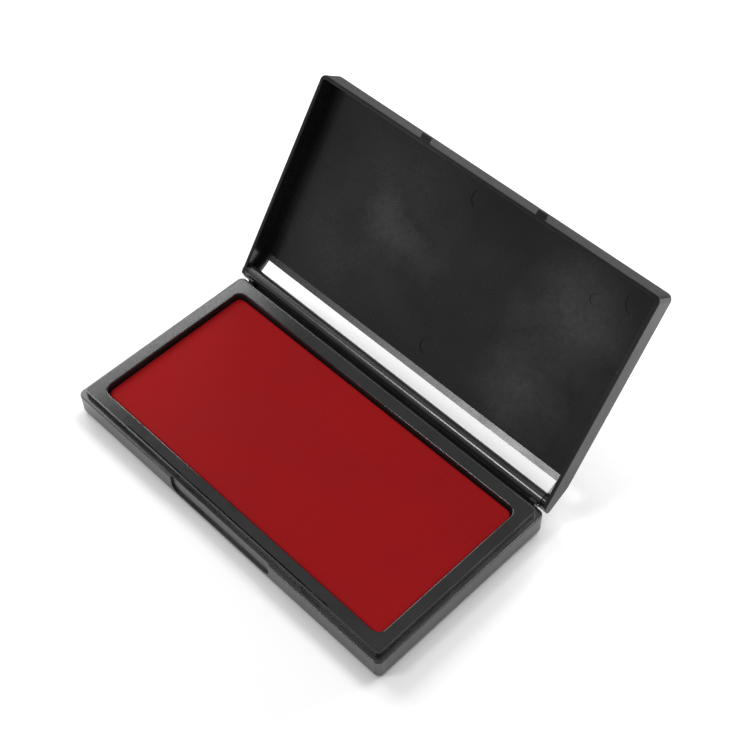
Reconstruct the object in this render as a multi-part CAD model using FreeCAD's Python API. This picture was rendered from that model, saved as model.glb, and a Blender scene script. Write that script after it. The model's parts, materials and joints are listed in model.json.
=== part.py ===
import FreeCAD, Part
import math
import os
from FreeCAD import Vector

# Ink pad: a shallow two-part plastic case with a hinged lid, and a re-inkable felt pad
# held under a raised frame. Millimetres, +Z up. The origin is the middle of the underside
# of the case. The lid is drawn shut, then swung back to its open rest.

PASS = 1.0               # cuts and joined pieces run this far past the faces that they meet

# --- case ---------------------------------------------------------------------------------
CASE_W = 158.75          # overall width, 6 1/4 in
CASE_D = 82.0            # depth of the lower tray
CASE_CORNER = 2.4        # vertical corner radius
LEDGE = 2.0              # width of the ledge that the lid comes down on
LEDGE_Z = 9.8
LIP_T = 0.6              # thin lip inside the ledge, level with the pad frame
LIP_TOP = 12.2
FLOOR = 1.6
BOTTOM_ROUND = 1.6
LEDGE_ROUND = 0.35
RIB_H = 1.0              # ribs on the tray floor, under the backing plate
RIB_T = 1.2
RIB_ROOT = 0.2
RIB_SHORT = 4.0          # the ribs end this far inside the edge of the pad
RIBS_X = (-60, -36, -12, 12, 36, 60)
RIBS_Y = (-24, 0, 24)

# --- raised pad frame -----------------------------------------------------------------------
FRAME_GAP = 0.08         # gap round the frame inside the lip
FRAME_TOP = LIP_TOP
FRAME_PLATE = 1.4
FRAME_SKIRT = 1.2
RELIEF_HALF = 52.5       # the wider slit along the front of the frame
RELIEF_DEEP = 0.4
OPEN_W = 144.6           # opening over the pad
OPEN_D = 67.6
OPEN_CORNER = 3.4
OPEN_ROUND = 0.5
WELL_WALL = 1.2

# --- pad ------------------------------------------------------------------------------------
PAD_RECESS = 2.4         # the cloth lies this far below the frame
PAD_GAP = 0.45           # round the pad inside the well
CLOTH = 0.4
CLOTH_ROUND = 0.9
BACKING_T = 1.4
BACKING_MARGIN = 1.0     # the backing plate reaches this far under the well wall

# --- hinge ----------------------------------------------------------------------------------
AXIS_Y = 43.7
AXIS_Z = 12.43
BARREL_R = 2.6
BARREL_HALF = 76.2       # half length of the long barrel
WEB_HALF = 74.3          # the web from the rear wall to the barrel
WEB_LOW = 6.6
WEB_TOP = 9.1
WEB_ROOT = 0.5           # how far the web is let into the rear wall
WEB_FRONT = 1.1          # the tie under the barrel, in front of the axis and behind it
WEB_BACK = 0.9
WEB_SLOPE = 1.0
WEB_END = 74.8           # outer face of the block at each end of the web
WEB_END_T = 2.6
WEB_END_REACH = 1.5      # how far that block stands out from the rear wall
PIN_R = 1.0
PIN_RUNNING = 0.05       # radial clearance in the barrel
PIN_DEPTH = 6.0          # reach of the pin into the barrel
PIN_SEAT = 1.9           # depth of its seat in the ear
PIN_CHAMFER = 0.25
BORE_DEPTH = 6.6
EAR_BOSS_R = 2.35
END_GAP = 0.3

# --- lid ------------------------------------------------------------------------------------
LID_OPEN = 124.4         # swing from shut to the open stop, degrees
LID_RIM_Z = 10.1         # lid rim when shut
LID_H = 9.8
LID_WALL = 1.5
LID_ROUND = 1.1
RIM_ROUND = 0.3
BEND = 8.2               # the roof turns down this far in front of the axis
REAR_REACH = 4.0         # the lid ends this far behind the axis
REAR_HIGH = 2.1
REAR_LOW = 0.6
RIM_END = 1.6
WINDOW_HALF = 75.1       # the back of the lid is open between its two corners
WINDOW_FRONT = 6.2
INNER_SLANT = 3.0        # slant of the inner face below the end of the sloping back
HOLLOW_BELOW = 5.0       # the hollow is drawn this far below the rim
BARREL_CLEAR = 0.35

# --- catches --------------------------------------------------------------------------------
THUMB_HALF = 25.8        # finger recess in the front wall
THUMB_DEEP = 0.8
THUMB_LOW = 2.4
THUMB_CORNER = 3.0
LUG_X = 27.2             # small lugs on the front wall of the lid, at the rim
LUG_W = 3.6
LUG_OUT = 2.2
LUG_H = 1.6
LUG_ROUND = 0.5
LUG_ROOT = 0.8
CATCH_X = (-19.5, 45.0)  # slots through the lip, with a bead on the lid for each
SLOT_W = 9.0
SLOT_LOW = 10.2
SLOT_HIGH = 11.7
BEAD_W = 7.0
BEAD_OUT = 0.3
BEAD_R = 0.6
EJECTOR_DEEP = 0.25
EJECTOR_CUT = 2.0
# ejector marks inside the lid: x, distance in front of the axis, radius
EJECTORS = ((-72.9, 16.3, 3.2), (6.0, 17.3, 3.8), (-0.7, 75.3, 3.8), (70.0, 75.6, 4.6),
            (55.7, 68.8, 2.2))

FRONT = -CASE_D / 2
REAR = CASE_D / 2
LIP_W = CASE_W - 2 * LEDGE
LIP_D = CASE_D - 2 * LEDGE
LIP_CORNER = 1.6
WELL_W = LIP_W - 2 * LIP_T
WELL_D = LIP_D - 2 * LIP_T
FRAME_W = WELL_W - 2 * FRAME_GAP
FRAME_D = WELL_D - 2 * FRAME_GAP
PAD_TOP = FRAME_TOP - PAD_RECESS
BACKING_Z = FLOOR + RIB_H
FELT_Z = BACKING_Z + BACKING_T
PAD_W = OPEN_W - 2 * PAD_GAP
PAD_D = OPEN_D - 2 * PAD_GAP
EAR_FACE = BARREL_HALF + END_GAP
X_AXIS = Vector(1, 0, 0)


def rounded_block(width, depth, radius, low, high):
    """An upright block with round vertical corners, centred on the Z axis."""
    x, y = width / 2, depth / 2
    k = radius * (1 - math.sqrt(0.5))
    edges = []
    for sx, sy in ((1, -1), (1, 1), (-1, 1), (-1, -1)):
        start = Vector(sx * (x - radius), sy * y, low)
        end = Vector(sx * x, sy * (y - radius), low)
        if sx * sy > 0:
            start, end = end, start
        middle = Vector(sx * (x - k), sy * (y - k), low)
        edges.append((start, middle, end))
    lines = []
    for i, (start, middle, end) in enumerate(edges):
        lines.append(Part.Arc(start, middle, end).toShape())
        lines.append(Part.LineSegment(end, edges[(i + 1) % 4][0]).toShape())
    return Part.Face(Part.Wire(lines)).extrude(Vector(0, 0, high - low))


def prism_x(points, half):
    """A prism along X, from -half to half, with a (y, z) outline."""
    corners = [Vector(-half, y, z) for y, z in points]
    return Part.Face(Part.makePolygon(corners + corners[:1])).extrude(Vector(2 * half, 0, 0))


def rod_x(radius, start, end, y=AXIS_Y, z=AXIS_Z):
    """A round bar along X."""
    return Part.makeCylinder(radius, end - start, Vector(start, y, z), X_AXIS)


def box(x0, x1, y0, y1, z0, z1):
    return Part.makeBox(x1 - x0, y1 - y0, z1 - z0, Vector(x0, y0, z0))


def edges_where(shape, test):
    return [edge for edge in shape.Edges if test(edge)]


def at_height(z):
    """Test for edges that lie flat at one height."""
    return lambda edge: abs(edge.BoundBox.ZMin - z) < 1e-4 and abs(edge.BoundBox.ZMax - z) < 1e-4


def thumb_recess():
    """The shallow finger recess in the front wall, round at its two lower corners."""
    y = FRONT - PASS
    x, low, high, r = THUMB_HALF, THUMB_LOW, LEDGE_Z + PASS, THUMB_CORNER
    k = r * (1 - math.sqrt(0.5))
    lines = [
        Part.LineSegment(Vector(x, y, high), Vector(-x, y, high)),
        Part.LineSegment(Vector(-x, y, high), Vector(-x, y, low + r)),
        Part.Arc(Vector(-x, y, low + r), Vector(-x + k, y, low + k), Vector(-x + r, y, low)),
        Part.LineSegment(Vector(-x + r, y, low), Vector(x - r, y, low)),
        Part.Arc(Vector(x - r, y, low), Vector(x - k, y, low + k), Vector(x, y, low + r)),
        Part.LineSegment(Vector(x, y, low + r), Vector(x, y, high)),
    ]
    face = Part.Face(Part.Wire([line.toShape() for line in lines]))
    return face.extrude(Vector(0, PASS + THUMB_DEEP, 0))


def floor_ribs():
    """Crossing ribs that hold the backing plate clear of the floor."""
    reach_x, reach_y = PAD_W / 2 - RIB_SHORT, PAD_D / 2 - RIB_SHORT
    root = FLOOR - RIB_ROOT
    ribs = []
    for x in RIBS_X:
        ribs.append(box(x - RIB_T / 2, x + RIB_T / 2, -reach_y, reach_y, root, BACKING_Z))
    for y in RIBS_Y:
        ribs.append(box(-reach_x, reach_x, y - RIB_T / 2, y + RIB_T / 2, root, BACKING_Z))
    return ribs


def hinge_web():
    """The web that carries the barrel behind the rear wall, with a block at each end."""
    root, front, back = REAR - WEB_ROOT, AXIS_Y - WEB_FRONT, AXIS_Y + WEB_BACK
    outline = [(root, WEB_LOW), (root, WEB_TOP), (front, WEB_TOP), (front, AXIS_Z - PASS),
               (back, AXIS_Z - PASS), (back, WEB_TOP + WEB_SLOPE), (REAR, WEB_LOW)]
    web = [prism_x(outline, WEB_HALF)]
    for end in (-WEB_END, WEB_END - WEB_END_T):
        web.append(box(end, end + WEB_END_T, root, REAR + WEB_END_REACH, WEB_LOW, AXIS_Z))
    return web


def base_case():
    """The lower tray: ledge, thin lip, floor ribs and the long hinge barrel."""
    tray = rounded_block(CASE_W, CASE_D, CASE_CORNER, 0, LEDGE_Z)
    tray = tray.makeFillet(BOTTOM_ROUND, edges_where(tray, at_height(0)))
    tray = tray.makeFillet(LEDGE_ROUND, edges_where(tray, at_height(LEDGE_Z)))
    tray = tray.cut(thumb_recess())
    tray = tray.fuse(rounded_block(LIP_W, LIP_D, LIP_CORNER, LEDGE_Z - PASS, LIP_TOP))
    for x in CATCH_X:
        tray = tray.cut(box(x - SLOT_W / 2, x + SLOT_W / 2, -LIP_D / 2 - PASS,
                            -LIP_D / 2 + 2 * LIP_T, SLOT_LOW, SLOT_HIGH))
    tray = tray.cut(rounded_block(WELL_W, WELL_D, LIP_CORNER - LIP_T, FLOOR, LIP_TOP + PASS))
    barrel = rod_x(BARREL_R, -BARREL_HALF, BARREL_HALF)
    tray = tray.multiFuse([barrel] + hinge_web() + floor_ribs())
    bore = PIN_R + PIN_RUNNING
    for start in (-BARREL_HALF - PASS, BARREL_HALF - BORE_DEPTH):
        tray = tray.cut(rod_x(bore, start, start + BORE_DEPTH + PASS))
    return tray.removeSplitter()


def opening_edge(edge):
    """Test for the top edges round the opening over the pad."""
    span = edge.BoundBox
    return (at_height(FRAME_TOP)(edge) and max(abs(span.XMin), abs(span.XMax)) < OPEN_W / 2 + 0.1
            and max(abs(span.YMin), abs(span.YMax)) < OPEN_D / 2 + 0.1)


def pad_frame():
    """The raised frame: a flat top round the opening, an outer skirt and the well wall."""
    corner = LIP_CORNER - LIP_T
    frame = rounded_block(FRAME_W, FRAME_D, corner, FLOOR, FRAME_TOP)
    relief = box(-RELIEF_HALF, RELIEF_HALF, -FRAME_D / 2 - PASS, -FRAME_D / 2 + RELIEF_DEEP,
                 FLOOR, FRAME_TOP + PASS)
    frame = frame.cut(relief)
    hollow = rounded_block(FRAME_W - 2 * (FRAME_SKIRT + RELIEF_DEEP),
                           FRAME_D - 2 * (FRAME_SKIRT + RELIEF_DEEP), corner,
                           FLOOR - PASS, FRAME_TOP - FRAME_PLATE)
    well = rounded_block(OPEN_W + 2 * WELL_WALL, OPEN_D + 2 * WELL_WALL,
                         OPEN_CORNER + WELL_WALL, FELT_Z, FRAME_TOP - FRAME_PLATE)
    frame = frame.cut(hollow.cut(well))
    frame = frame.cut(rounded_block(OPEN_W, OPEN_D, OPEN_CORNER, FLOOR - PASS, FRAME_TOP + PASS))
    return frame.makeFillet(OPEN_ROUND, edges_where(frame, opening_edge))


def pad_backing():
    """The stiff plate under the felt. The well wall of the frame clamps its edge."""
    return rounded_block(OPEN_W + 2 * BACKING_MARGIN, OPEN_D + 2 * BACKING_MARGIN,
                         OPEN_CORNER, BACKING_Z, FELT_Z)


def felt_core():
    """The block of felt that holds the ink."""
    return rounded_block(PAD_W - 2 * CLOTH, PAD_D - 2 * CLOTH, OPEN_CORNER - PAD_GAP - CLOTH,
                         FELT_Z, PAD_TOP - CLOTH)


def ink_cloth():
    """The woven cover: a thin cap over the top and the sides of the felt."""
    corner = OPEN_CORNER - PAD_GAP
    cap = rounded_block(PAD_W, PAD_D, corner, FELT_Z, PAD_TOP)
    cap = cap.makeFillet(CLOTH_ROUND, edges_where(cap, at_height(PAD_TOP)))
    return cap.cut(felt_core())


def lid_outline(inset):
    """Side outline of the shut lid, as (y, z) from the hinge axis, drawn in by inset."""
    top = LID_RIM_Z + LID_H - AXIS_Z
    rim = LID_RIM_Z - AXIS_Z
    front = FRONT - AXIS_Y
    slope = Vector(REAR_REACH + BEND, REAR_HIGH - top).normalize()
    if inset == 0:
        return [(front, rim), (front, top), (-BEND, top), (REAR_REACH, REAR_HIGH),
                (REAR_REACH, REAR_LOW), (RIM_END, rim)]
    # the inner line of the sloping back, moved in along its normal
    in_y, in_z = slope.y * inset, -slope.x * inset
    bend_y = -BEND + in_y + slope.x * (in_z + inset) / -slope.y
    below = rim - HOLLOW_BELOW
    end = (REAR_REACH + in_y, REAR_HIGH + in_z)
    return [(front + inset, below), (front + inset, top - inset), (bend_y, top - inset), end,
            (end[0] - INNER_SLANT, below)]


def placed(points):
    return [(AXIS_Y + y, AXIS_Z + z) for y, z in points]


def swing_open(shape):
    """Turn a shape from the shut lid to the open lid."""
    shape.rotate(Vector(0, AXIS_Y, AXIS_Z), Vector(-1, 0, 0), LID_OPEN)
    return shape


def lid_window():
    """Everything behind the roof edge between the two rear corners of the lid."""
    top = LID_RIM_Z + LID_H - AXIS_Z
    return box(-WINDOW_HALF, WINDOW_HALF, AXIS_Y - WINDOW_FRONT, AXIS_Y + 2 * REAR_REACH,
               LID_RIM_Z - PASS, AXIS_Z + top + PASS)


def front_lug(x):
    """A small rounded lug on the front wall of the lid, level with the rim."""
    lug = box(x - LUG_W / 2, x + LUG_W / 2, FRONT - LUG_OUT, FRONT + LUG_ROOT, LID_RIM_Z,
              LID_RIM_Z + LUG_H)
    corners = edges_where(lug, lambda e: e.BoundBox.YMax < FRONT - LUG_OUT + 0.01
                          and e.BoundBox.XLength < 0.01)
    return lug.makeFillet(LUG_ROUND, corners)


def catch_bead(x):
    """A low bead along the inside of the lid's front wall."""
    inner = FRONT + LID_WALL
    height = (SLOT_LOW + SLOT_HIGH) / 2
    bead = rod_x(BEAD_R, x - BEAD_W / 2, x + BEAD_W / 2, inner + BEAD_OUT - BEAD_R, height)
    return bead.common(box(x - BEAD_W, x + BEAD_W, inner - PASS, inner + PASS, LID_RIM_Z,
                           height + 2 * BEAD_R))


def lid_shell():
    """The lid: roof, walls, two hinge ears, catch beads and the small front lugs."""
    half = CASE_W / 2
    top = LID_RIM_Z + LID_H
    lid = prism_x(placed(lid_outline(0)), half)
    front_corners = edges_where(lid, lambda e: e.BoundBox.YMax < FRONT + 0.01
                                and e.BoundBox.XLength < 0.01)
    lid = lid.makeFillet(CASE_CORNER, front_corners)
    lid = lid.makeFillet(LID_ROUND, edges_where(lid, at_height(top)))
    hollow = prism_x(placed(lid_outline(LID_WALL)), half - LID_WALL)
    inner_corners = edges_where(hollow, lambda e: e.BoundBox.YMax < FRONT + LID_WALL + 0.01
                                and e.BoundBox.XLength < 0.01)
    hollow = hollow.makeFillet(CASE_CORNER - LID_WALL, inner_corners)
    lid = lid.cut(hollow)
    lid = lid.makeFillet(RIM_ROUND, edges_where(lid, at_height(LID_RIM_Z)))
    lid = lid.cut(lid_window())
    lid = lid.cut(rod_x(BARREL_R + BARREL_CLEAR, -EAR_FACE, EAR_FACE))
    for side in (-1, 1):
        ends = sorted((side * EAR_FACE, side * half))
        boss = rod_x(EAR_BOSS_R, ends[0], ends[1])
        lid = lid.fuse(boss.common(box(-half, half, FRONT, AXIS_Y + 2 * REAR_REACH, LID_RIM_Z, top)))
        lid = lid.fuse(front_lug(side * LUG_X))
    for x in CATCH_X:
        lid = lid.fuse(catch_bead(x))
    seat = EAR_FACE + PIN_SEAT
    lid = lid.cut(rod_x(PIN_R, -seat, -EAR_FACE + PASS))
    lid = lid.cut(rod_x(PIN_R, EAR_FACE - PASS, seat))
    for x, reach, radius in EJECTORS:
        low = top - LID_WALL + EJECTOR_DEEP - EJECTOR_CUT
        lid = lid.cut(Part.makeCylinder(radius, EJECTOR_CUT, Vector(x, AXIS_Y - reach, low)))
    return swing_open(lid.removeSplitter())


def hinge_pin(side):
    """A short pin, pressed into the ear and free to turn in the barrel."""
    inner = side * (BARREL_HALF - PIN_DEPTH)
    outer = side * (EAR_FACE + PIN_SEAT)
    pin = rod_x(PIN_R, min(inner, outer), max(inner, outer))
    tip = edges_where(pin, lambda e: abs(abs(e.BoundBox.Center.x) - abs(inner)) < 0.01
                      and e.BoundBox.XLength < 0.01)
    return pin.makeChamfer(PIN_CHAMFER, tip)


PARTS = {
    "base_case": base_case(),
    "pad_frame": pad_frame(),
    "pad_backing": pad_backing(),
    "felt_core": felt_core(),
    "ink_cloth": ink_cloth(),
    "lid_shell": lid_shell(),
    "hinge_pin_left": hinge_pin(-1),
    "hinge_pin_right": hinge_pin(1),
}

os.makedirs("parts", exist_ok=True)
for name, shape in PARTS.items():
    shape.exportStep("parts/" + name + ".step")
    size = shape.BoundBox
    print(name, "solids", len(shape.Solids), "valid", shape.isValid(),
          "volume %.1f" % shape.Volume,
          "x %.2f %.2f y %.2f %.2f z %.2f %.2f" % (size.XMin, size.XMax, size.YMin, size.YMax,
                                                  size.ZMin, size.ZMax))
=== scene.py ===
import json
import math

import bmesh
import bpy
from mathutils import Matrix, Vector


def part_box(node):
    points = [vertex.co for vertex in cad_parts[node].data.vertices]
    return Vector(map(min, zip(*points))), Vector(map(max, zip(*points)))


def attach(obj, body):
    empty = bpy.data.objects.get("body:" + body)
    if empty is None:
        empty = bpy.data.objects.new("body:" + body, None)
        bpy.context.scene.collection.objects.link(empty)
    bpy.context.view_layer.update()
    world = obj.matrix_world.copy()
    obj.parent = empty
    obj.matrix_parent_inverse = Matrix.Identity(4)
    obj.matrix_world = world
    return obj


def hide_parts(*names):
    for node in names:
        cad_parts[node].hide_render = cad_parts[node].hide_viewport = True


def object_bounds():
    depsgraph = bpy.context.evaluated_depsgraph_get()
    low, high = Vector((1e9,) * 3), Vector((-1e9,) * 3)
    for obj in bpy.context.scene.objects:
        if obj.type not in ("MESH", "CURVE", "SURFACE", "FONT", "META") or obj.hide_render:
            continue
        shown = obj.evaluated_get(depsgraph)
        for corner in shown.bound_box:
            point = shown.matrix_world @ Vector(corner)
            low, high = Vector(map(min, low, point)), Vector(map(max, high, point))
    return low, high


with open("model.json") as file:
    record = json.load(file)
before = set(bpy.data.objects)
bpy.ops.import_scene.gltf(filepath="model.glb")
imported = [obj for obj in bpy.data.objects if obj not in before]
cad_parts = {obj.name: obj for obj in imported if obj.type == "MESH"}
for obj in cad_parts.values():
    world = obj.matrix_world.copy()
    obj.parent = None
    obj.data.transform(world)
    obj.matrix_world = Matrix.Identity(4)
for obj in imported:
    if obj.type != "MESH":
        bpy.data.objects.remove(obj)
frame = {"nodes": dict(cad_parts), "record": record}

cad_low, cad_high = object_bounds()

MM = 0.001

HINGE = frame["record"]["behaviour"]["joints"][0]

# Sizes that the frame doesn't hold, in metres.
CLOTH_T = 0.4 * MM          # thickness of the woven cover
CLOTH_EDGE = 0.8 * MM       # how softly the cover turns over the edge of the felt
PAD_CORNER = 2.95 * MM      # corner radius of the pad, seen from above
PAD_CROWN = 0.10 * MM       # how far the middle of the pad stands above its edge
PAD_STEP = 1.6 * MM         # spacing of the pad's mesh away from its edges
FRONT_DEPTH = 2.9 * MM      # the lugs and half of the lid's front wall, outwards
SIDE_DEPTH = 0.7 * MM       # the outer skin of the lid's side walls
LID_INSIDE = 5.97 * MM      # from the hinge axis out to the inside of the lid's roof
ROOF_SKIN = 0.7 * MM        # the painted sheen inside the lid stops this deep in the roof, short of its outside
HEM = 0.15 * MM             # the cover stops this far above the backing plate
PAD_TURNS = 4               # rows of mesh down the sides of the pad
RIPPLE = 0.012 * MM         # faint ripple of the stretched cloth
FELT_GAP = 0.05 * MM        # between the felt and the cover
FELT_EDGE = 0.5 * MM
FLOOR_HALF = 3.0            # half the width of the floor
FLOOR_GAP = 0.05 * MM       # the floor lies this far under the object
WEAVE_PITCH = 0.42          # spacing of the threads, in millimetres

# The camera: bearing, tilt and roll in degrees, its place in metres, the lens in millimetres.
CAMERA_ANGLES = (46.39, 52.0, -1.57)
CAMERA_PLACE = (0.23567, -0.18783, 0.43767)
CAMERA_LENS = 69.53

# Each light: name, bearing and height in degrees, distance, width and depth in metres, watts.
LIGHT_TARGET = (0, 0.03, 0.02)
WORLD_STRENGTH = 0.33
LIGHTS = (
    ("left_softbox", 171.5, 37.5, 1.7, 1.2, 0.75, 19.5),
    ("rear_softbox", 82, 61, 1.8, 0.7, 0.5, 10.5),
    ("front_softbox", 239, 51, 1.9, 0.42, 0.30, 8.5),
    ("low_rear_light", 100, 16, 1.0, 1.4, 0.2, 16),
)

# Patches of painted sheen inside the lid, light patches painted into its colour: across, along
# from the hinge axis, radius in millimetres, and strength.
PAINTED_SHEEN_WARP = 34.0           # how far noise shifts their edges, in millimetres
PAINTED_SHEEN_PATCHES = ((50, 60, 26, 1.0), (44, 24, 22, 0.9), (-34, 48, 14, 0.7), (-20, 46, 14, 0.8),
         (-8, 42, 12, 0.45), (-30, 70, 34, 0.35), (-50, 30, 36, 0.35))


# --- camera, floor and light ---------------------------------------------------------------

def make_camera():
    """The camera at the main angle, looking down at the open case."""
    bearing, tilt, roll = (math.radians(angle) for angle in CAMERA_ANGLES)
    look = Vector((-math.sin(bearing) * math.cos(tilt), math.cos(bearing) * math.cos(tilt),
                   -math.sin(tilt)))
    level = Vector((math.cos(bearing), math.sin(bearing), 0))
    upright = level.cross(look)
    right = level * math.cos(roll) + upright * math.sin(roll)
    up = upright * math.cos(roll) - level * math.sin(roll)
    data = bpy.data.cameras.new("camera")
    data.sensor_width = 36
    data.lens = CAMERA_LENS
    data.clip_start = 0.01
    camera = bpy.data.objects.new("camera", data)
    bpy.context.scene.collection.objects.link(camera)
    turn = Matrix((right, up, -look)).transposed()
    camera.matrix_world = Matrix.Translation(CAMERA_PLACE) @ turn.to_4x4()
    bpy.context.scene.camera = camera


def aim_light(name, bearing, height, distance, width, depth, power):
    """A soft rectangular light, aimed at the middle of the object.
    bearing is measured from +X towards +Y and height above the floor, both in degrees."""
    b, h = math.radians(bearing), math.radians(height)
    way = Vector((math.cos(b) * math.cos(h), math.sin(b) * math.cos(h), math.sin(h)))
    data = bpy.data.lights.new(name, "AREA")
    data.shape = "RECTANGLE"
    data.size = width
    data.size_y = depth
    data.energy = power
    light = bpy.data.objects.new(name, data)
    bpy.context.scene.collection.objects.link(light)
    light.location = Vector(LIGHT_TARGET) + way * distance
    light.rotation_euler = way.to_track_quat("Z", "Y").to_euler()


def make_lights():
    world = bpy.data.worlds.new("studio")
    bpy.context.scene.world = world
    world.use_nodes = True
    background = world.node_tree.nodes["Background"]
    background.inputs["Color"].default_value = (1.0, 1.0, 1.0, 1)
    background.inputs["Strength"].default_value = WORLD_STRENGTH
    for settings in LIGHTS:
        aim_light(*settings)


def make_floor():
    mesh = bpy.data.meshes.new("floor")
    half = FLOOR_HALF
    corners = [(-half, -half, 0), (half, -half, 0), (half, half, 0), (-half, half, 0)]
    mesh.from_pydata(corners, [], [(0, 1, 2, 3)])
    floor = bpy.data.objects.new("floor", mesh)
    bpy.context.scene.collection.objects.link(floor)
    floor.location.z = -FLOOR_GAP
    material, shader, _ = new_material("floor_white")
    shader.inputs["Base Color"].default_value = (0.9, 0.9, 0.9, 1)
    shader.inputs["Roughness"].default_value = 0.8
    shader.inputs["Specular IOR Level"].default_value = 0.1
    mesh.materials.append(material)


# --- materials -----------------------------------------------------------------------------

def new_material(name):
    """A node material with its shader and a helper that adds nodes."""
    material = bpy.data.materials.new(name)
    material.use_nodes = True
    tree = material.node_tree
    shader = tree.nodes["Principled BSDF"]

    def add(kind, values=None, **settings):
        node = tree.nodes.new(kind)
        for key, value in settings.items():
            setattr(node, key, value)
        for key, value in (values or {}).items():
            if isinstance(value, bpy.types.NodeSocket):
                tree.links.new(value, node.inputs[key])
            else:
                node.inputs[key].default_value = value
        return node

    return material, shader, add


def link(shader, socket, source):
    shader.id_data.links.new(source, shader.inputs[socket])


def place(add, stretch=(1, 1, 1), turn=(0, 0, 0)):
    """Object coordinates in millimetres, stretched and turned."""
    coordinates = add("ShaderNodeTexCoord")
    scale = tuple(s / MM for s in stretch)
    return add("ShaderNodeMapping", {"Vector": coordinates.outputs["Object"], "Scale": scale,
                                     "Rotation": turn}).outputs["Vector"]


def noise(add, where, scale, detail=3.0, roughness=0.5, output="Fac"):
    return add("ShaderNodeTexNoise", {"Vector": where, "Scale": scale, "Detail": detail,
                                      "Roughness": roughness}).outputs[output]


def calc(add, operation, *values):
    """One step of arithmetic on numbers or sockets."""
    return add("ShaderNodeMath", dict(enumerate(values)), operation=operation).outputs[0]


def dot(add, first, second):
    return add("ShaderNodeVectorMath", {0: first, 1: second},
               operation="DOT_PRODUCT").outputs["Value"]


def spread(add, value, low, high, from_low=0.3, from_high=0.7):
    """Map a 0-1 pattern onto a range."""
    return add("ShaderNodeMapRange", {"Value": value, "From Min": from_low, "From Max": from_high,
                                      "To Min": low, "To Max": high}).outputs["Result"]


def blend_colours(add, factor, first, second):
    node = add("ShaderNodeMix", data_type="RGBA")
    node.id_data.links.new(factor, node.inputs["Factor"])
    for socket, colour in (("A", first), ("B", second)):
        target = [s for s in node.inputs if s.name == socket and s.type == "RGBA"][0]
        if isinstance(colour, bpy.types.NodeSocket):
            node.id_data.links.new(colour, target)
        else:
            target.default_value = (*colour, 1)
    return [s for s in node.outputs if s.type == "RGBA"][0]


def bump(add, height, strength, distance, normal=None):
    values = {"Height": height, "Strength": strength, "Distance": distance}
    if normal is not None:
        values["Normal"] = normal
    return add("ShaderNodeBump", values).outputs["Normal"]


def lid_axes():
    """The hinge point of the open lid, the way to its front edge, and the way out of its roof."""
    swing = math.radians(HINGE["range_deg"][1])
    toward_front = Vector((0, -math.cos(swing), math.sin(swing)))
    outward = Vector((0, math.sin(swing), math.cos(swing)))
    return Vector(HINGE["pos_m"]), toward_front, outward


def painted_sheen(add, where):
    """Painted sheen on the inside of the lid: a few broad light patches with ragged edges, painted
    into the colour.
    """
    warp = noise(add, where, 0.045, 4.0, 0.6, "Color")
    shift = add("ShaderNodeVectorMath", {0: warp, 1: (0.5, 0.5, 0.5)},
                operation="SUBTRACT").outputs["Vector"]
    shift = add("ShaderNodeVectorMath", {0: shift, "Scale": PAINTED_SHEEN_WARP},
                operation="SCALE").outputs["Vector"]
    ragged = add("ShaderNodeVectorMath", {0: where, 1: shift}, operation="ADD").outputs["Vector"]
    hinge, toward_front, outward = lid_axes()
    total = 0.0
    for across, along, radius, strength in PAINTED_SHEEN_PATCHES:
        centre = hinge / MM + Vector((across, 0, 0)) + toward_front * along
        centre += outward * (LID_INSIDE / MM)
        away = add("ShaderNodeVectorMath", {0: ragged, 1: centre}, operation="DISTANCE")
        patch = spread(add, away.outputs["Value"], strength, 0.0, 0.0, radius)
        total = calc(add, "ADD", total, patch)
    mottle = spread(add, noise(add, where, 0.55, 4.0, 0.7), 0.5, 1.1, 0.32, 0.68)
    roof = (hinge.dot(outward) + LID_INSIDE + ROOF_SKIN) / MM
    inside = calc(add, "LESS_THAN", dot(add, where, outward), roof)
    return calc(add, "MULTIPLY", calc(add, "MULTIPLY", total, mottle), inside)


def lid_skin(add, where):
    """Masks for two outer skins of the lid: its front wall with the lugs, and its side walls."""
    direction = lid_axes()[1]
    reach = max(v.co.dot(direction) for v in frame["nodes"]["lid_shell"].data.vertices)
    front = calc(add, "GREATER_THAN", dot(add, where, direction), (reach - FRONT_DEPTH) / MM)
    across = add("ShaderNodeSeparateXYZ", {"Vector": where}).outputs["X"]
    side = calc(add, "GREATER_THAN", calc(add, "ABSOLUTE", across), (cad_high.x - SIDE_DEPTH) / MM)
    return front, side


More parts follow.
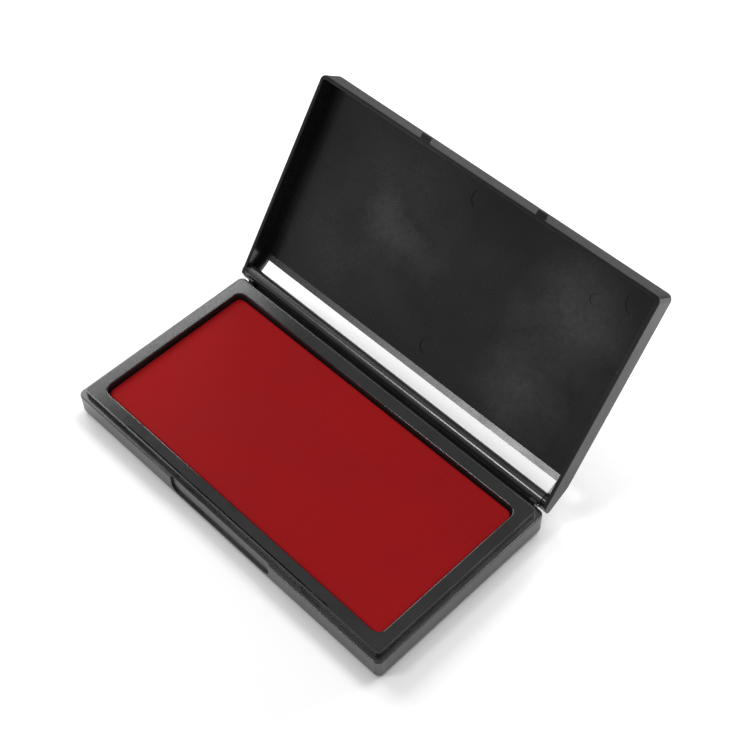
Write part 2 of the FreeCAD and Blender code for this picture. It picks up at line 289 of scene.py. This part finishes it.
def black_plastic(name, dark, light, rough_low, rough_high, cloud_scale, ior=1.5, painted_sheen_tint=None):
    """Moulded black styrene: a fine tool grain, cloudy gloss, and a few faint handling scuffs.
    For the lid, the last argument is the colour of the painted sheen inside it, light patches
    painted into the colour. It also brings the matte, sparked texture of the lid's outer skins."""
    material, shader, add = new_material(name)
    where = place(add)
    clouds = noise(add, where, cloud_scale, 4.0, 0.55)
    grain = noise(add, where, 2.6, 2.0, 0.6)
    speck = noise(add, where, 7.0, 1.0)
    along = place(add, (0.05, 1.3, 0.4), (0, 0, 0.5))
    scuffs = spread(add, noise(add, along, 0.8, 3.0, 0.6), 0.0, 0.6, 0.66, 0.78)
    tint = blend_colours(add, spread(add, clouds, 0.0, 1.0), dark, light)
    tint = blend_colours(add, spread(add, speck, 0.0, 0.35, 0.45, 0.75), tint,
                         tuple(c * 1.7 for c in light))
    gloss = calc(add, "ADD", spread(add, clouds, rough_low, rough_high),
                 spread(add, grain, -0.03, 0.03))
    gloss = calc(add, "ADD", gloss, calc(add, "MULTIPLY", scuffs, 0.07))
    normal = bump(add, grain, 0.35, 0.02 * MM, bump(add, clouds, 0.25, 0.05 * MM))
    if painted_sheen_tint is not None:
        # painted sheen: broad light patches painted into the colour inside the lid
        tint = blend_colours(add, painted_sheen(add, where), tint, painted_sheen_tint)
        front, side = lid_skin(add, where)
        gloss = calc(add, "ADD", gloss, calc(add, "MULTIPLY", front, 0.75))
        gloss = calc(add, "ADD", gloss, calc(add, "MULTIPLY", side, 0.15))
        sparks = calc(add, "MULTIPLY", noise(add, where, 1.6, 2.0, 0.7), front)
        normal = bump(add, sparks, 1.0, 0.9 * MM, normal)
    link(shader, "Base Color", tint)
    link(shader, "Roughness", gloss)
    link(shader, "Normal", normal)
    shader.inputs["IOR"].default_value = ior
    return material


def inked_cloth():
    """Fine plain weave, damp with red ink: a warp and a weft that pass over each other."""
    material, shader, add = new_material("inked_cloth")
    where = place(add)
    axes = add("ShaderNodeSeparateXYZ", {"Vector": where})
    waver = spread(add, noise(add, where, 0.35, 2.0), -0.25, 0.25, 0.3, 0.7)

    def threads(axis, other):
        moved = calc(add, "ADD", axes.outputs[axis], waver)
        turn = calc(add, "MULTIPLY", moved, 2 * math.pi / WEAVE_PITCH)
        crossing = calc(add, "MULTIPLY", axes.outputs[other], math.pi / WEAVE_PITCH)
        return calc(add, "MULTIPLY", calc(add, "SINE", turn), calc(add, "COSINE", crossing))

    weave = calc(add, "MAXIMUM", threads("X", "Y"), threads("Y", "X"))
    soak = noise(add, where, 0.035, 4.0, 0.6)
    mottle = noise(add, where, 0.9, 3.0, 0.6)
    tint = blend_colours(add, spread(add, soak, 0.0, 1.0), (0.238, 0.0038, 0.0052),
                         (0.272, 0.0053, 0.0068))
    tint = blend_colours(add, spread(add, mottle, 0.0, 0.35), tint, (0.215, 0.0026, 0.0040))
    tint = blend_colours(add, spread(add, weave, 0.30, 0.0, -0.9, 0.9), tint,
                         (0.190, 0.0022, 0.0034))
    link(shader, "Base Color", tint)
    link(shader, "Roughness", spread(add, soak, 0.62, 0.76))
    fibres = bump(add, mottle, 0.25, 0.05 * MM)
    link(shader, "Normal", bump(add, weave, 0.35, 0.03 * MM, fibres))
    shader.inputs["Specular IOR Level"].default_value = 0.06
    return material


def felt():
    """Dense wool felt, soaked through: tangled short fibres."""
    material, shader, add = new_material("inked_felt")
    where = place(add)
    tangle = noise(add, place(add, (1, 1, 2.2), (0.3, 0.2, 0.6)), 2.2, 5.0, 0.7)
    patches = noise(add, where, 0.12, 3.0)
    tint = blend_colours(add, spread(add, patches, 0.0, 1.0), (0.30, 0.012, 0.018),
                         (0.40, 0.020, 0.028))
    link(shader, "Base Color", blend_colours(add, spread(add, tangle, 0.5, 0.0), tint,
                                             (0.20, 0.006, 0.010)))
    link(shader, "Roughness", spread(add, tangle, 0.8, 0.95))
    link(shader, "Normal", bump(add, tangle, 0.8, 0.25 * MM))
    shader.inputs["Sheen Weight"].default_value = 0.3
    return material


def grey_board():
    """The backing plate: grey pressed board with short flecks."""
    material, shader, add = new_material("grey_board")
    flecks = noise(add, place(add, (0.35, 1.6, 1)), 1.1, 4.0, 0.65)
    shade = blend_colours(add, spread(add, flecks, 0.0, 1.0), (0.24, 0.24, 0.245),
                          (0.36, 0.36, 0.365))
    link(shader, "Base Color", shade)
    link(shader, "Roughness", spread(add, flecks, 0.7, 0.85))
    link(shader, "Normal", bump(add, flecks, 0.4, 0.06 * MM))
    return material


def drawn_wire():
    """Drawn steel wire: fine lines along the pin."""
    material, shader, add = new_material("drawn_wire")
    lines = noise(add, place(add, (0.08, 4, 4)), 2.0, 3.0, 0.6)
    link(shader, "Base Color", blend_colours(add, spread(add, lines, 0.0, 1.0),
                                             (0.42, 0.42, 0.43), (0.60, 0.60, 0.61)))
    link(shader, "Roughness", spread(add, lines, 0.24, 0.42))
    link(shader, "Normal", bump(add, lines, 0.3, 0.01 * MM))
    shader.inputs["Metallic"].default_value = 1.0
    return material


# --- the pad -------------------------------------------------------------------------------

def ease_steps(half, edge, step):
    """Mesh lines from -half to half: even in the middle and close together near both ends."""
    near = [0.0, 0.06 * edge, 0.2 * edge, 0.45 * edge, 0.8 * edge, 1.3 * edge, 2.4 * edge]
    inner = half - near[-1]
    count = max(2, round(2 * inner / step))
    middle = [-inner + 2 * inner * i / count for i in range(1, count)]
    left = [-half + d for d in near]
    return left + middle + [-x for x in reversed(left)]


def pad_height(x, y, half_x, half_y):
    """The slight crown of the pad with the faint ripple of stretched cloth."""
    u, v = x / half_x, y / half_y
    crown = PAD_CROWN * (1 - u ** 4) * (1 - v ** 4)
    ripple = math.sin(61 * u + 3 * v) + math.sin(23 * v + 5 * u + 1.3) + math.sin(17 * u - 19 * v)
    return crown + RIPPLE * ripple * (1 - u * u) * (1 - v * v)


def pad_skin(bm, low, high, corner, edge, floor_z):
    """One skin of the pad: a crowned top that turns over a round edge and runs down the sides.
    Returns the loop of points along its lower edge."""
    middle = (low + high) / 2
    half_x, half_y = (high.x - low.x) / 2, (high.y - low.y) / 2
    xs, ys = ease_steps(half_x, edge, PAD_STEP), ease_steps(half_y, edge, PAD_STEP)
    rows = []
    for y in ys:
        row = []
        for x in xs:
            in_x, in_y = abs(x) - (half_x - corner), abs(y) - (half_y - corner)
            px, py = x, y
            depth = min(half_x - abs(x), half_y - abs(y))
            if in_x > 0 and in_y > 0:
                shrink = max(in_x, in_y) / math.hypot(in_x, in_y)
                px = math.copysign(half_x - corner + in_x * shrink, x)
                py = math.copysign(half_y - corner + in_y * shrink, y)
                depth = corner - max(in_x, in_y)
            fall = min(edge, max(0.0, edge - depth))
            z = high.z - edge + math.sqrt(edge * edge - fall * fall)
            z += pad_height(px, py, half_x, half_y)
            row.append(bm.verts.new((middle.x + px, middle.y + py, z)))
        rows.append(row)
    for low_row, high_row in zip(rows, rows[1:]):
        for i in range(len(xs) - 1):
            bm.faces.new((low_row[i], low_row[i + 1], high_row[i + 1], high_row[i]))
    rim = (rows[0][:-1] + [row[-1] for row in rows[:-1]] + list(reversed(rows[-1]))[:-1]
           + [row[0] for row in reversed(rows)][:-1])
    for left in range(PAD_TURNS, 0, -1):
        share = 1 / left
        lower = [bm.verts.new((v.co.x, v.co.y, v.co.z + (floor_z - v.co.z) * share)) for v in rim]
        for j in range(len(rim)):
            k = (j + 1) % len(rim)
            bm.faces.new((rim[k], rim[j], lower[j], lower[k]))
        rim = lower
    return rim


def finish_mesh(bm, name, material):
    bmesh.ops.recalc_face_normals(bm, faces=bm.faces)
    mesh = bpy.data.meshes.new(name)
    bm.to_mesh(mesh)
    bm.free()
    mesh.materials.append(material)
    for polygon in mesh.polygons:
        polygon.use_smooth = True
    piece = bpy.data.objects.new(name, mesh)
    bpy.context.scene.collection.objects.link(piece)
    return piece


def make_cloth():
    """The woven cover as a thin closed sheet, stretched over the felt."""
    low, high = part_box("ink_cloth")
    bm = bmesh.new()
    outer = pad_skin(bm, low, high, PAD_CORNER, CLOTH_EDGE, low.z + HEM)
    inset = Vector((CLOTH_T, CLOTH_T, CLOTH_T))
    inner = pad_skin(bm, low + inset, high - inset, PAD_CORNER - CLOTH_T, CLOTH_EDGE - CLOTH_T,
                     low.z + HEM)
    for j in range(len(outer)):
        k = (j + 1) % len(outer)
        bm.faces.new((outer[j], outer[k], inner[k], inner[j]))
    cloth = finish_mesh(bm, "woven_cover", inked_cloth())
    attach(cloth, "base")
    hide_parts("ink_cloth")


def make_felt():
    """The felt block under the cover, a crowned closed form."""
    low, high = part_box("felt_core")
    gap = Vector((FELT_GAP, FELT_GAP, FELT_GAP))
    bm = bmesh.new()
    rim = pad_skin(bm, low + gap, high - gap, PAD_CORNER - CLOTH_T - FELT_GAP, FELT_EDGE, low.z)
    bm.faces.new(rim)
    block = finish_mesh(bm, "felt_block", felt())
    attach(block, "base")
    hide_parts("felt_core")


# --- the scene -----------------------------------------------------------------------------

def dress(node, material):
    """Give a CAD node its material."""
    for entry in frame["nodes"][node].material_slots:
        entry.material = material


def main():
    bpy.context.scene.view_settings.view_transform = "Standard"
    make_camera()
    make_lights()
    make_floor()
    dress("base_case", black_plastic("case_plastic", (0.013, 0.013, 0.0135),
                                     (0.021, 0.021, 0.0215), 0.19, 0.27, 0.05, ior=1.68))
    dress("pad_frame", black_plastic("frame_plastic", (0.014, 0.0137, 0.0137),
                                     (0.022, 0.0215, 0.0215), 0.09, 0.14, 0.06))
    # the lid's last colour is a painted sheen, light patches painted inside it
    dress("lid_shell", black_plastic("lid_plastic", (0.004, 0.004, 0.0042),
                                     (0.009, 0.009, 0.0092), 0.20, 0.32, 0.03,
                                     painted_sheen_tint=(0.050, 0.050, 0.051)))
    dress("pad_backing", grey_board())
    wire = drawn_wire()
    for side in ("left", "right"):
        dress("hinge_pin_" + side, wire)
    make_felt()
    make_cloth()


main()
